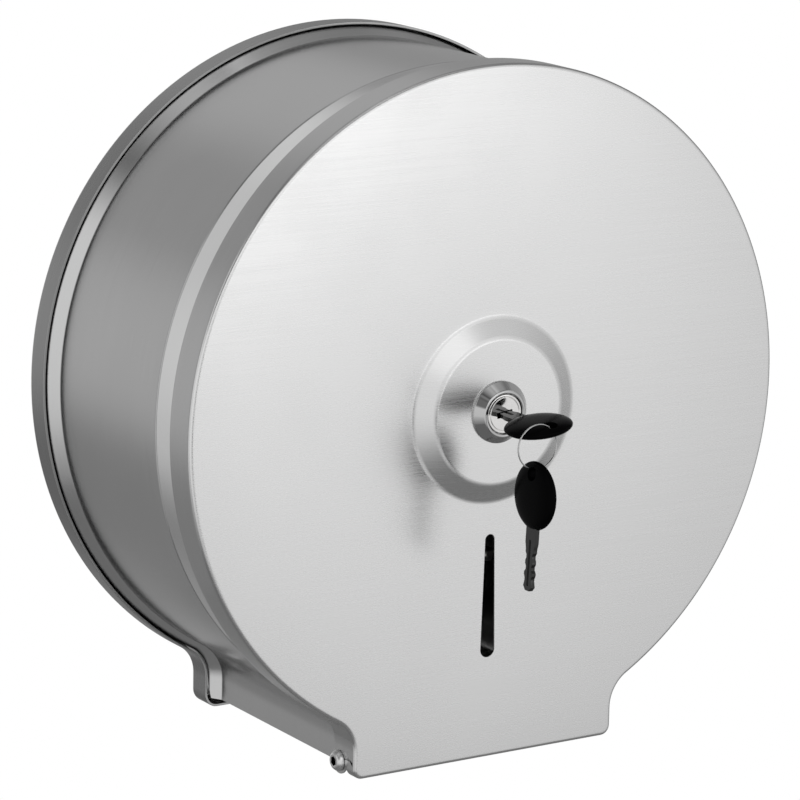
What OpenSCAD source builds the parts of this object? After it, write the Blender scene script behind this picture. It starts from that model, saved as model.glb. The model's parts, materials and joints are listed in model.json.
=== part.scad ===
// Jumbo toilet roll dispenser in satin stainless steel.
// A round drum stands on a back pan that is screwed to the wall. A shallow cover closes
// the front, swings down about two screws at the foot and is held by a key lock in its
// middle. The roll turns on a hub round a fixed spindle, and paper leaves by the open neck.
// Origin: on the drum's axis, in the plane of the wall. +Z is up and the front faces -Y.
// Each piece is drawn as seen from the front, x right, y up and z out from the wall,
// and off_wall() then stands it up.

/* [Outline of the front] */
// Radius of the round front
face_r = 132.5; // [115:0.5:160]
// Depth of the whole case, from the wall to the front face
case_depth = 123; // [100:1:150]
// Width of the neck below the round
neck_w = 119; // [90:1:140]
// How far the foot of the front hangs below the round
foot_below = 6; // [3.5:0.5:15]
// Radius of the inside corner where the round meets the neck
fillet_r = 15; // [8:1:25]
// Radius of the two corners at the foot
foot_r = 4; // [3:0.5:8]

/* [Sheet metal] */
// Thickness of the cover and drum sheet
sheet_t = 0.8; // [0.6:0.1:1.2]
// Thickness of the back pan's sheet
pan_t = 1; // [0.8:0.1:1.5]
// Outside radius of the bend at the front's edge
bend_r = 1.5; // [1.3:0.1:3]
// Clearance between the cover's flange and the drum inside it
cover_gap = 0.7; // [0.6:0.1:1.2]

/* [Cover] */
// Depth of the flange round the cover
flange_depth = 14.5; // [12:0.5:20]
// Depth of the short flange along the foot
foot_flange = 6; // [4:0.5:9]
// Radius of the raised boss round the lock, at its base
boss_r = 36; // [30:0.5:42]
// Radius of the flat top of that boss
boss_top_r = 28.5; // [24:0.5:32]
// Height of that boss
boss_h = 4; // [2:0.5:8]
// Distance from the axis down to the top of the sight slot
slot_drop = 49; // [44:1:56]
// Length of the sight slot
slot_len = 49; // [30:1:54]
// Width of the sight slot at its top
slot_top_w = 4.2; // [3:0.2:7]
// Width of the sight slot at its foot
slot_foot_w = 6.4; // [4:0.2:9]

/* [Drum] */
// Depth of the drum's front band, behind the front face
front_band = 16; // [14:0.5:24]
// Length of the taper from the front band in to the waist
taper_len = 15; // [6:1:20]
// How far the waist is drawn in from the front band
waist_in = 1.9; // [0.5:0.1:3]
// Height of the rear band above the wall
rear_band = 11.3; // [10:0.1:14]
// Clearance between the rear band and the pan's flange
rear_gap = 0.7; // [0.3:0.1:1.5]
// Width of the lip round the drum's open front
lip_w = 4.7; // [2:0.1:8]
// Width of the flange inside the drum's rear edge, by which it is riveted to the pan
rear_flange_w = 11; // [9:0.5:14]
// Height of the drum's side walls above the foot of the front
wall_lift = 2.6; // [1.8:0.1:8]

/* [Back pan] */
// How far the pan stands out past the outline of the front
pan_out = 1.5; // [1.2:0.1:4]
// Height of the pan's flange above the wall
pan_depth = 11.5; // [8:0.5:16]
// Outside radius of the pan's bend
pan_bend_r = 2; // [1.6:0.1:3]
// Distance between the wall screws, across and up
screw_pitch = 120; // [96:1:124]
// Radius of the wall screw holes
screw_hole_r = 3; // [2:0.1:4]
// Radius of the raised seat for the spindle
seat_r = 36; // [34:0.5:40]
// Height of that seat
seat_h = 3; // [2.6:0.1:5]
// Number of rivets between drum and pan
rivet_count = 8; // [4:2:8]

/* [Spindle and hub] */
// Outside radius of the spindle tube
tube_r = 19; // [17:0.5:21]
// Wall of the spindle tube
tube_t = 1.2; // [1:0.1:1.6]
// Gap between the front face and the end of the spindle tube
tube_setback = 14.6; // [13.5:0.1:17]
// Radius of the spindle's rear flange
tube_flange_r = 33; // [32:0.5:34]
// Radius of the circle of spindle rivets
spindle_rivet_r = 28.5; // [28:0.5:29]
// Running clearance of the hub on the spindle
hub_play = 0.3; // [0.1:0.05:0.5]
// Wall of the hub's sleeve
hub_wall = 2.7; // [2:0.1:3.5]
// Radius over the hub's fins, which carry the roll's core
fin_r = 34.5; // [30:0.5:38]
// Number of fins
fin_count = 8; // [4:1:12]
// Thickness of a fin
fin_t = 2.5; // [1.5:0.1:4]
// Radius of the hub's rear flange
hub_flange_r = 43; // [39:1:50]

/* [Hinge] */
// Height of the hinge screws above the foot of the front
hinge_lift = 5.2; // [5:0.1:6]
// Depth of the hinge screws behind the front face
hinge_back = 11.2; // [10.6:0.1:11.4]
// Radius of the screw's shoulder, on which the cover turns
shoulder_r = 2.5; // [2.2:0.1:2.7]
// Running clearance of the cover on the shoulder
pin_play = 0.06; // [0.02:0.01:0.1]

/* [Lock] */
// Radius of the lock's threaded barrel
barrel_r = 9.5; // [8.5:0.1:10.5]
// Radius of the bezel where it sits on the boss
bezel_r = 12.1; // [11.6:0.1:14]
// Height of the bezel above the boss
bezel_h = 4.5; // [3.6:0.1:6]
// Radius of the turning plug
plug_r = 6; // [5.8:0.1:6.4]
// Running clearance of the plug in the barrel
plug_play = 0.1; // [0.05:0.01:0.1]
// Reach of the cam from the lock's axis
cam_reach = 15.5; // [13:0.5:16]
// Width of the cam
cam_w = 10; // [8:0.5:12]

/* [Keys] */
// Width of a key's blade
blade_w = 6.4; // [6:0.2:8]
// Thickness of a key's blade
blade_t = 1.8; // [1.6:0.1:2.2]
// Length of the blade from its tip to the bow
blade_len = 23.5; // [20:0.5:26]
// Diameter of the round plastic bow
bow_d = 26; // [22:0.5:30]
// Thickness of the bow in its middle
bow_t = 5.6; // [4:0.1:6]
// Angle by which the key in the lock stands turned from level
key_tilt = 8; // [0:1:15]
// Angle by which the hanging key leans to the left
spare_lean = 3; // [0:0.5:5]
// Radius of the ring hole in the bow
ring_hole_r = 2.6; // [2.4:0.1:3]
// Mean radius of the key ring
ring_r = 8.6; // [8:0.1:11]
// Thickness of the key ring's wire
ring_wire = 1; // [0.8:0.1:1.2]

/* [Hidden] */
$fn = 96;

// Fits
slip = 0.05;            // pieces that are pushed together by hand
seat_gap = 0.3;         // moving pieces that pass each other
hole_play = 0.05;       // rivet and screw shanks in their holes
past = 1;               // how far a cutter runs past what it cuts
blend = 0.05;           // by which a fillet cuts into the walls it joins, so the edge is clean
bend_steps = 6;         // flats in a small bend

// The outline: a round head, two fillets and a straight neck
foot_drop = face_r + foot_below;    // from the drum's axis down to the foot
neck_half = neck_w / 2;
fillet_x = neck_half + fillet_r;
fillet_y = -sqrt(pow(face_r + fillet_r, 2) - pow(fillet_x, 2));
neck_top = -face_r / 2;

// Levels above the wall
face_z = case_depth;
cover_in_z = face_z - sheet_t;
lip_gap = 0.4;          // between the drum's lip and the cover
lip_z = cover_in_z - lip_gap;
boss_z = face_z + boss_h;
boss_in_z = boss_z - sheet_t;
seat_z = seat_h + pan_t;

// Offsets of the sheets from the outline
drum_front = -sheet_t - cover_gap;
drum_waist = drum_front - waist_in;
drum_rear = pan_out - pan_t - rear_gap;
shoulder_len = drum_rear - drum_waist;
rear_bend = 0.6;        // breaks the drum's rear edge, clear of the pan's bend
inner_corner = 0.4;     // by which the drum's inside corners lie behind the outside ones

// Hinge, seen from the front
hinge_y = hinge_lift - foot_drop;
hinge_z = face_z - hinge_back;
ear_in_x = neck_half - sheet_t;
tab_out_x = neck_half + drum_front;
tab_in_x = tab_out_x - sheet_t;
washer_t = cover_gap - 0.1;
washer_r = 4.2;
hinge_thread_r = 2;
hinge_head_r = 4.1;
hinge_head_h = 2.6;
hinge_socket_af = 2.5;
nut_t = 3.2;
nut_af = 7;
tab_r = 4.4;            // end of the drum's tab round the hinge screw
ear_r = hinge_lift;     // end of the cover's ear round the same screw
hinge_head_x = neck_half + 0.1;
hinge_edge_h = 0.8;     // upright edge of the screw's head
hinge_crown_h = 0.5;    // flattest part of its crown
hinge_socket_h = 1.6;
nut_grip = 0.4;         // by which the screw passes the nut

// Side walls of the neck, cut back in a slope behind the pan's flange
slope_rise = 17.5;      // from the foot of the head up to the slope's top
slope_top_z = 8;
slope_foot_z = 12.6;

// Drum to pan rivets
rivet_r = 1.6;
rivet_head_r = 2.8;
rivet_dome_r = 3.2;
rivet_dome_h = 1.2;
rivet_head_h = 0.9;
rivet_sink = 1.3;       // by which the hole's countersink is wider than the head
rivet_circle_r = face_r + drum_rear - sheet_t - rear_flange_w / 2;
rivet_first = -50;      // angle of the rivet nearest the neck
rivet_step = (180 - 2 * rivet_first) / (rivet_count - 1);

// Tear strips
strip_t = sheet_t;
strip_h = 9;
strip_leg = 6;
strip_from_z = 22;
strip_to_z = face_z - front_band - taper_len;
strip_y = -foot_drop + wall_lift + 2;
tooth_pitch = 4;
tooth_h = 2.2;

// Spindle, from the pan outwards
tube_end_z = face_z - tube_setback;
tube_flange_t = 1.5;
tube_flange_z = seat_z + tube_flange_t;
tube_in_r = tube_r - tube_t;
spindle_rivet_shank = 2;
spindle_rivet_head = 3.6;
spindle_rivet_head_h = 1.2;
thrust_t = 1.5;
thrust_r = tube_r + 5;
thrust_play = 0.2;
thrust_z = tube_flange_z + thrust_t;
cap_t = 1;
cap_rim = 3.5;          // by which the cap stands out past the tube
cap_r = tube_r + cap_rim;
cap_skirt_r = tube_in_r - slip;
cap_skirt_t = 1;
cap_skirt_len = 8.4;
cap_hole_r = plug_r + 2;
cap_slot_w = cam_w + 1.6;
cap_slot_reach = cam_reach + 0.9;
cap_pin_r = 1.5;
cap_pin_sink = 0.3;     // by which a pin stands inside the skirt
cap_pin_z = tube_end_z - cap_skirt_len + 2 * cap_pin_r;

// Hub
hub_bore_r = tube_r + hub_play;
hub_z = thrust_z + seat_gap;
hub_end_z = tube_end_z - 0.5;
hub_flange_t = 2.5;
fin_lead = 6;           // length of the slope at a fin's front end
fin_lead_in = 4;

// Lock, from its front backwards
plug_sink = 0.5;        // by which the plug's face lies inside the bezel
plug_face_z = boss_z + bezel_h - plug_sink;
plug_head_r = plug_r + 1.6;
plug_head_h = 2.8;
plug_head_z = plug_face_z - plug_head_h;
bezel_bore_r = plug_head_r + 0.3;
bezel_floor = 0.2;      // under the plug's head
bezel_edge_h = 0.8;
bezel_top_r = bezel_bore_r + 1.2;
barrel_flat = barrel_r - 1;
barrel_end_z = tube_end_z + cap_t + 0.9;
lock_hole_play = 0.15;
lock_thread_play = 0.1;
lock_washer_t = 0.8;
lock_washer_r = 13.2;
lock_nut_t = 3.5;
lock_nut_af = 24;
cam_t = 1.6;
plug_end_z = tube_end_z - 0.4;
cam_z = plug_end_z - cam_t;
cam_hub_r = 7;
cam_square = 7;
cam_screw_r = 1.9;
cam_screw_head_r = 4.5;
cam_screw_head_h = 1.8;
cam_screw_len = 6;

// Keyway, wafers and keys
key_in = 10;            // from the boss's top in to the key's tip
key_tip_z = boss_z - key_in;
keyway_w = blade_w + 0.6;
keyway_h = blade_t + 0.4;
keyway_end_z = key_tip_z - 2;
blade_half = blade_w / 2;
cut_step = 2.2;         // from one cut in the blade to the next
cut_from = 3.2;         // from the tip to the first cut
cuts = [1.1, 0.5, 1.4, 0.8, 1.3, 0.6];
tip_taper = 1.9;
tip_h = 1.6;
shoulder_h = 5;         // plain blade below the bow
groove_w = 1.2;
groove_from = 2;
groove_plain = 4;       // plain blade above the groove
wafer_w = 2 * plug_r - 1.2;
wafer_h = keyway_h + 2.2;
wafer_t = 1;
wafer_pitch = 2.4;
wafer_count = 4;
wafer_first_z = keyway_end_z + 4;
wafer_side = 0.1;       // play round a wafer in its slot
tang_w = 6;
tang_t = 1.4;
tang_len = 12;
bow_r = bow_d / 2;
bow_rim = 0.7;          // how blunt the bow's edge is: 1 makes an ellipse
bow_z = key_tip_z + blade_len + bow_r;
ring_hole_off = bow_r - 4.6;
ring_z = bow_z + ring_hole_off;
ring_x = -5.9;
ring_wire_r = ring_wire / 2;
ring_in_hole_y = 0.8;   // height at which the wire passes the bow's middle
ring_y = ring_in_hole_y - sqrt(pow(ring_r, 2) - pow(ring_x, 2));
spare_play = 0.45;      // between the ring's wire and the spare key hung on it
spare_hole_y = ring_y - ring_r + ring_wire_r + spare_play - ring_hole_r;

// Colours
steel = [0.78, 0.79, 0.80];
pan_steel = [0.62, 0.63, 0.65];
chrome = [0.88, 0.89, 0.91];
zinc = [0.72, 0.73, 0.75];
nickel = [0.66, 0.66, 0.66];
brass = [0.80, 0.66, 0.36];
white_plastic = [0.90, 0.90, 0.88];
black_plastic = [0.05, 0.05, 0.06];

// Stands a piece up: its z, out from the wall, becomes -Y, and its y becomes Z.
module off_wall() {
    rotate([90, 0, 0]) children();
}

// The right-hand copy of the children and its mirror image.
module both_sides() {
    for (side = [0, 1]) mirror([side, 0, 0]) children();
}

// Points on a bend of radius r about [o, z], from one angle to another.
function bend(o, z, r, from, to) =
    [for (i = [0 : bend_steps])
        let (a = from + (to - from) * i / bend_steps) [o + r * cos(a), z + r * sin(a)]];

// A section whose edge stands at base plus the offset of each point of the list.
function section(edge, base, way = 1) = [for (p = edge) [base + way * p.x, p.y]];

// Lowest and highest level of an edge.
function low(edge) = edge[0].y;
function high(edge) = edge[len(edge) - 1].y;

// An edge carried past its two ends, for a cutter.
function run_past(edge) = concat(
    [[edge[0].x, low(edge) - past]], edge, [[edge[len(edge) - 1].x, high(edge) + past]]);

// A turned solid whose radius is base plus or minus the offset of each point.
module turned(edge, base, way = 1) {
    rotate_extrude()
        polygon(concat([[0, low(edge)]], section(edge, base, way), [[0, high(edge)]]));
}

// What rounds the two foot corners off.
module corner_cuts(edge) {
    reach = foot_r + pan_out + past;
    both_sides()
        translate([neck_half - foot_r, foot_r - foot_drop, 0])
            difference() {
                translate([0, -reach, low(edge) - past])
                    cube([reach, reach, high(edge) - low(edge) + 2 * past]);
                turned(run_past(edge), foot_r + blend);
            }
}

// The straight neck, from inside the round down to foot_y.
module neck(edge, foot_y) {
    sides = section(edge, neck_half);
    translate([0, neck_top, 0]) rotate([90, 0, 0])
        linear_extrude(neck_top - foot_y)
            polygon(concat(sides, [for (i = [len(sides) - 1 : -1 : 0]) [-sides[i].x, sides[i].y]]));
}

// The neck with its closed foot.
module footed_neck(edge) {
    difference() {
        intersection() {
            neck(edge, -foot_drop - pan_out - past);
            rotate([90, 0, 90])
                linear_extrude(2 * face_r, center = true)
                    polygon(concat([[neck_top, low(edge)]],
                        section(edge, -foot_drop, -1), [[neck_top, high(edge)]]));
        }
        corner_cuts(edge);
    }
}

// What fills the two corners between head and neck, rounded by the fillets.
module web(edge) {
    difference() {
        translate([0, 0, low(edge)])
            linear_extrude(high(edge) - low(edge))
                polygon([[0, 0], [fillet_x, fillet_y], [-fillet_x, fillet_y]]);
        both_sides() translate([fillet_x, fillet_y, 0])
            turned(run_past(edge), fillet_r + blend, -1);
    }
}

// A solid with the outline of the front. Its edge is a list of [offset outside the
// outline, level above the wall]; the fillets may have a plainer one of their own.
// The neck ends in the rounded foot, or open at open_y.
module front_shape(edge, fillet_edge = [], open_y = 0) {
    turned(edge, face_r, $fn = 180);
    web(len(fillet_edge) == 0 ? edge : fillet_edge);
    if (open_y == 0)
        footed_neck(edge);
    else
        neck(edge, open_y);
}

// Places the drum's rivets round the head, from one side of the neck to the other.
module at_rivets() {
    for (i = [0 : rivet_count - 1])
        rotate(rivet_first + i * rivet_step) translate([rivet_circle_r, 0, 0]) children();
}

// Places the four spindle rivets.
module at_spindle_rivets() {
    for (a = [45 : 90 : 315]) rotate(a) translate([spindle_rivet_r, 0, 0]) children();
}

// Places a piece on the right-hand hinge screw's axis, its z pointing out to the right.
module at_hinge() {
    translate([0, hinge_y, hinge_z]) rotate([0, 90, 0]) children();
}

// A hexagonal prism across its flats.
module hexagon(af, h) {
    cylinder(h = h, r = af / 2 / cos(30), $fn = 6);
}

// The pan that is screwed to the wall, with a raised seat for the spindle.
module back_plate() {
    outer = concat(bend(pan_out - pan_bend_r, pan_bend_r, pan_bend_r, -90, 0),
        [[pan_out, pan_depth]]);
    inner = concat(bend(pan_out - pan_bend_r, pan_bend_r, pan_bend_r - pan_t, -90, 0),
        [[pan_out - pan_t, pan_depth + past]]);
    seat_foot_r = seat_r + 5;
    slope = (seat_foot_r - seat_r) / seat_h;
    color(pan_steel) off_wall() difference() {
        union() {
            difference() {
                front_shape(outer);
                front_shape(inner);
            }
            translate([0, 0, pan_t]) cylinder(h = seat_h, r1 = seat_foot_r, r2 = seat_r);
        }
        translate([0, 0, -past])
            cylinder(h = seat_h + past, r1 = seat_foot_r + past * slope, r2 = seat_r);
        for (x = [-1, 1], y = [-1, 1])
            translate([x * screw_pitch / 2, y * screw_pitch / 2, -past])
                cylinder(h = pan_t + 2 * past, r = screw_hole_r);
        at_rivets() {
            translate([0, 0, -past]) cylinder(h = pan_t + 2 * past, r = rivet_r + hole_play);
            translate([0, 0, -past])
                cylinder(h = rivet_head_h + past, r1 = rivet_head_r + hole_play + rivet_sink,
                    r2 = rivet_r + hole_play);
        }
        at_spindle_rivets() cylinder(h = seat_z + past, r = spindle_rivet_shank + hole_play);
    }
}

// What cuts the walls of the neck back in a slope, clear of the pan.
module rear_slope(foot_y) {
    rotate([90, 0, 90])
        linear_extrude(2 * fillet_x, center = true)
            polygon([[foot_y, -past], [-face_r + slope_rise, -past],
                [-face_r + slope_rise, slope_top_z], [foot_y, slope_foot_z]]);
}

// The drum's wall: front band, taper, waist, shoulder and rear band, with a lip at the
// front and two walls down to the hinge screws.
module drum_wall() {
    waist_z = face_z - front_band - taper_len;
    outer = [[drum_rear - rear_bend, pan_t], [drum_rear, pan_t + rear_bend],
        [drum_rear, rear_band], [drum_waist, rear_band + shoulder_len],
        [drum_waist, waist_z], [drum_front, waist_z + taper_len], [drum_front, lip_z]];
    bore = drum_front - sheet_t;
    inner = [[drum_rear - sheet_t, pan_t - past], [drum_rear - sheet_t, rear_band - inner_corner],
        [drum_waist - sheet_t, rear_band + shoulder_len - inner_corner],
        [drum_waist - sheet_t, waist_z + blend], [bore, waist_z + taper_len + blend],
        [bore, lip_z - sheet_t], [bore - lip_w, lip_z - sheet_t], [bore - lip_w, lip_z + past]];
    wall_y = wall_lift - foot_drop;
    tab_y = hinge_y - tab_r;
    color(steel) off_wall() difference() {
        union() {
            difference() {
                front_shape(outer, open_y = wall_y);
                front_shape(inner, open_y = wall_y - past);
            }
            both_sides() translate([tab_in_x, 0, 0]) at_hinge() cylinder(h = sheet_t, r = tab_r);
        }
        rear_slope(tab_y - past);
        both_sides() at_hinge()
            translate([0, 0, tab_in_x - past])
                cylinder(h = sheet_t + 2 * past, r = hinge_thread_r + hole_play);
    }
}

// Flat flange welded inside the drum's rear edge, and riveted to the pan.
module drum_flange() {
    rim = drum_rear - sheet_t - slip;
    bore = rim - rear_flange_w;
    top_z = pan_t + sheet_t;
    color(steel) off_wall() difference() {
        front_shape([[rim, pan_t], [rim, top_z]], open_y = -face_r);
        front_shape([[bore, pan_t - past], [bore, top_z + past]], open_y = -face_r - past);
        rear_slope(-face_r - 2 * past);
        at_rivets() cylinder(h = top_z + past, r = rivet_r + hole_play);
    }
}

// Rivets that hold the drum's flange on the pan, flush on the wall's side.
module body_rivets() {
    top_z = pan_t + sheet_t;
    color(zinc) off_wall() at_rivets() {
        cylinder(h = rivet_head_h, r1 = rivet_head_r, r2 = rivet_r);
        cylinder(h = top_z, r = rivet_r);
        translate([0, 0, top_z]) cylinder(h = rivet_dome_h, r1 = rivet_dome_r, r2 = rivet_r);
    }
}

// The right-hand toothed strip on which paper is torn, on the inside of the side wall.
module tear_strip() {
    strip_x = neck_half + drum_waist - sheet_t - strip_t;
    strip_len = strip_to_z - strip_from_z;
    tooth_count = floor(strip_len / tooth_pitch);
    // upright leg against the wall, and its toothed lower edge
    translate([strip_x + strip_t, strip_y, 0]) rotate([0, -90, 0])
        linear_extrude(strip_t)
            polygon(concat([[strip_from_z, strip_h], [strip_from_z, 0]],
                [for (i = [0 : tooth_count - 1], tip = [0, 1])
                    [strip_from_z + (i + (tip + 0.5) / 2) * tooth_pitch, tip == 0 ? 0 : -tooth_h]],
                [[strip_to_z, 0], [strip_to_z, strip_h]]));
    // inward leg along its top
    translate([strip_x - strip_leg, strip_y + strip_h - strip_t, strip_from_z])
        cube([strip_leg, strip_t, strip_len]);
}

module tear_strip_right() {
    color(steel) off_wall() tear_strip();
}

module tear_strip_left() {
    color(steel) off_wall() mirror([1, 0, 0]) tear_strip();
}

// Fixed tube that carries the hub, with a flange on the pan's raised seat.
module spindle_tube() {
    color(zinc) off_wall() difference() {
        union() {
            translate([0, 0, seat_z]) cylinder(h = tube_flange_t, r = tube_flange_r);
            translate([0, 0, seat_z]) cylinder(h = tube_end_z - seat_z, r = tube_r);
        }
        translate([0, 0, seat_z - past])
            cylinder(h = tube_end_z - seat_z + 2 * past, r = tube_in_r);
        at_spindle_rivets()
            translate([0, 0, seat_z - past])
                cylinder(h = tube_flange_t + 2 * past, r = spindle_rivet_shank + hole_play);
        for (a = [90 : 120 : 330])
            rotate(a) translate([tube_in_r - past, 0, cap_pin_z]) rotate([0, 90, 0])
                cylinder(h = tube_t + 2 * past, r = cap_pin_r + hole_play);
    }
}

// Rivets that hold the spindle's flange on the seat.
module spindle_rivets() {
    color(zinc) off_wall() at_spindle_rivets() {
        translate([0, 0, seat_h - spindle_rivet_head_h])
            cylinder(h = spindle_rivet_head_h, r1 = spindle_rivet_shank, r2 = spindle_rivet_head);
        translate([0, 0, seat_h - spindle_rivet_head_h])
            cylinder(h = tube_flange_z - seat_h + spindle_rivet_head_h, r = spindle_rivet_shank);
        translate([0, 0, tube_flange_z])
            cylinder(h = 1.2, r1 = spindle_rivet_shank + 1, r2 = spindle_rivet_shank);
    }
}

// Plastic washer on which the hub's rear end turns.
module thrust_washer() {
    color(white_plastic) off_wall() translate([0, 0, tube_flange_z]) difference() {
        cylinder(h = thrust_t, r = thrust_r);
        translate([0, 0, -past]) cylinder(h = thrust_t + 2 * past, r = tube_r + thrust_play);
    }
}

// Cap in the spindle's end. The cam passes its slot when it points up, and is held
// behind its disc when it is turned.
module spindle_cap() {
    color(zinc) off_wall() difference() {
        union() {
            translate([0, 0, tube_end_z]) cylinder(h = cap_t, r = cap_r);
            translate([0, 0, tube_end_z - cap_skirt_len])
                cylinder(h = cap_skirt_len, r = cap_skirt_r);
        }
        translate([0, 0, tube_end_z - cap_skirt_len - past])
            cylinder(h = cap_skirt_len + past, r = cap_skirt_r - cap_skirt_t);
        cylinder(h = face_z, r = cap_hole_r);
        translate([-cap_slot_w / 2, 0, tube_end_z - past])
            cube([cap_slot_w, cap_slot_reach, cap_t + 2 * past]);
        for (a = [90 : 120 : 330])
            rotate(a) translate([cap_skirt_r - cap_skirt_t - past, 0, cap_pin_z])
                rotate([0, 90, 0]) cylinder(h = cap_skirt_t + 2 * past, r = cap_pin_r + hole_play);
    }
}

// Pins that hold the cap in the tube.
module cap_pins() {
    color(zinc) off_wall() for (a = [90 : 120 : 330])
        rotate(a) translate([cap_skirt_r - cap_skirt_t - cap_pin_sink, 0, cap_pin_z])
            rotate([0, 90, 0])
                cylinder(h = tube_r - cap_skirt_r + cap_skirt_t + cap_pin_sink, r = cap_pin_r);
}

// Button-head shoulder screws, one each side, on which the cover turns.
module hinge_screws() {
    end_x = tab_in_x - nut_t + nut_grip;
    crown_x = hinge_head_x + hinge_head_h - hinge_crown_h;
    crown_r = hinge_head_r - 0.15 * hinge_head_r;
    color(chrome) off_wall() both_sides() at_hinge() difference() {
        union() {
            translate([0, 0, end_x]) cylinder(h = tab_out_x - end_x, r = hinge_thread_r);
            translate([0, 0, tab_out_x]) cylinder(h = hinge_head_x - tab_out_x, r = shoulder_r);
            translate([0, 0, hinge_head_x]) cylinder(h = hinge_edge_h, r = hinge_head_r);
            translate([0, 0, hinge_head_x + hinge_edge_h])
                cylinder(h = hinge_head_h - hinge_edge_h - hinge_crown_h, r1 = hinge_head_r,
                    r2 = crown_r);
            translate([0, 0, crown_x])
                cylinder(h = hinge_crown_h, r1 = crown_r, r2 = 0.6 * hinge_head_r);
        }
        translate([0, 0, hinge_head_x + hinge_head_h - hinge_socket_h])
            hexagon(hinge_socket_af, hinge_socket_h + past);
    }
}

// Washers between the cover's ears and the drum's tabs.
module hinge_washers() {
    color(white_plastic) off_wall() both_sides() at_hinge()
        translate([0, 0, tab_out_x]) difference() {
            cylinder(h = washer_t, r = washer_r);
            translate([0, 0, -past]) cylinder(h = washer_t + 2 * past, r = shoulder_r + slip);
        }
}

// Nuts of the hinge screws, inside the neck.
module hinge_nuts() {
    color(chrome) off_wall() both_sides() at_hinge()
        translate([0, 0, tab_in_x - nut_t]) difference() {
            hexagon(nut_af, nut_t);
            translate([0, 0, -past]) cylinder(h = nut_t + 2 * past, r = hinge_thread_r + hole_play);
        }
}

// Plastic hub that turns on the spindle, with fins in the roll's core.
module core_hub() {
    sleeve_r = hub_bore_r + hub_wall;
    color(white_plastic) off_wall() difference() {
        union() {
            translate([0, 0, hub_z]) cylinder(h = hub_flange_t, r = hub_flange_r);
            translate([0, 0, hub_z]) cylinder(h = hub_end_z - hub_z, r = sleeve_r);
            for (i = [0 : fin_count - 1])
                rotate((i + 0.5) * 360 / fin_count) rotate([90, 0, 0])
                    translate([0, 0, -fin_t / 2]) linear_extrude(fin_t)
                        polygon([[sleeve_r - 1, hub_z], [fin_r, hub_z],
                            [fin_r, hub_end_z - fin_lead], [fin_r - fin_lead_in, hub_end_z],
                            [sleeve_r - 1, hub_end_z]]);
        }
        translate([0, 0, hub_z - past])
            cylinder(h = hub_end_z - hub_z + 2 * past, r = hub_bore_r);
    }
}

// The slot through which the rest of the roll is seen, round at both ends.
module sight_slot() {
    top_r = slot_top_w / 2;
    foot_end_r = slot_foot_w / 2;
    top_y = -slot_drop - top_r;
    foot_y = -slot_drop - slot_len + foot_end_r;
    linear_extrude(2 * past + sheet_t)
        polygon(concat(
            [for (a = [0 : 15 : 180]) [top_r * cos(a), top_y + top_r * sin(a)]],
            [for (a = [180 : 15 : 360]) [foot_end_r * cos(a), foot_y + foot_end_r * sin(a)]]));
}

// Round hole or barrel with two flats, which keep the lock from turning.
module flatted(r, flat, h) {
    linear_extrude(h) intersection() {
        circle(r);
        square([2 * flat, 2 * r + 1], center = true);
    }
}

// The cover: a shallow pan with a raised boss, a sight slot and two hinge ears.
module front_cover() {
    outer = concat([[0, face_z - flange_depth]], bend(-bend_r, face_z - bend_r, bend_r, 0, 90));
    inner = concat([[-sheet_t, face_z - flange_depth - past]],
        bend(-bend_r, face_z - bend_r, bend_r - sheet_t, 0, 90));
    inner_fillet = [inner[0], [-sheet_t, cover_in_z]];
    ear_end_z = face_z - flange_depth;
    foot_cut_y = -foot_drop - past;
    color(steel) off_wall() difference() {
        union() {
            difference() {
                front_shape(outer);
                front_shape(inner, inner_fillet);
            }
            both_sides() translate([ear_in_x, 0, 0]) at_hinge() cylinder(h = sheet_t, r = ear_r);
            translate([0, 0, face_z]) cylinder(h = boss_h, r1 = boss_r, r2 = boss_top_r);
        }
        rotate_extrude() polygon([[0, face_z - 2 * past], [boss_r, face_z - 2 * past],
            [boss_r, cover_in_z], [boss_top_r, boss_in_z], [0, boss_in_z]]);
        translate([0, 0, boss_in_z - past])
            flatted(barrel_r + lock_hole_play, barrel_flat + lock_hole_play, sheet_t + 2 * past);
        translate([0, 0, cover_in_z - past]) sight_slot();
        // the flange along the foot is short, between two flat ears
        translate([-ear_in_x, foot_cut_y, ear_end_z - past])
            cube([2 * ear_in_x, foot_r + 2 * past, flange_depth - foot_flange + past]);
        // the ears end in a round about the screws
        both_sides() translate([ear_in_x - past, 0, 0]) rotate([90, 0, 90])
            linear_extrude(sheet_t + 2 * past) difference() {
                translate([foot_cut_y, ear_end_z - past])
                    square([hinge_y - foot_cut_y, hinge_z - ear_end_z + past]);
                translate([hinge_y, hinge_z]) circle(ear_r + blend);
            }
        both_sides() at_hinge()
            translate([0, 0, ear_in_x - past])
                cylinder(h = sheet_t + 2 * past, r = shoulder_r + pin_play);
    }
}

// Chromed lock body: the bezel on the boss, and a threaded barrel with two flats.
module lock_housing() {
    color(chrome) off_wall() difference() {
        union() {
            translate([0, 0, barrel_end_z])
                flatted(barrel_r, barrel_flat, boss_z - barrel_end_z);
            translate([0, 0, boss_z]) cylinder(h = bezel_edge_h, r = bezel_r);
            translate([0, 0, boss_z + bezel_edge_h])
                cylinder(h = bezel_h - bezel_edge_h, r1 = bezel_r, r2 = bezel_top_r);
        }
        translate([0, 0, barrel_end_z - past])
            cylinder(h = boss_z + bezel_h - barrel_end_z + 2 * past, r = plug_r + plug_play);
        translate([0, 0, plug_head_z - bezel_floor]) cylinder(h = bezel_h, r = bezel_bore_r);
    }
}

// Washer under the lock's nut, behind the boss.
module lock_washer() {
    color(zinc) off_wall() translate([0, 0, boss_in_z - lock_washer_t]) difference() {
        cylinder(h = lock_washer_t, r = lock_washer_r);
        translate([0, 0, -past])
            cylinder(h = lock_washer_t + 2 * past, r = barrel_r + lock_thread_play);
    }
}

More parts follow.
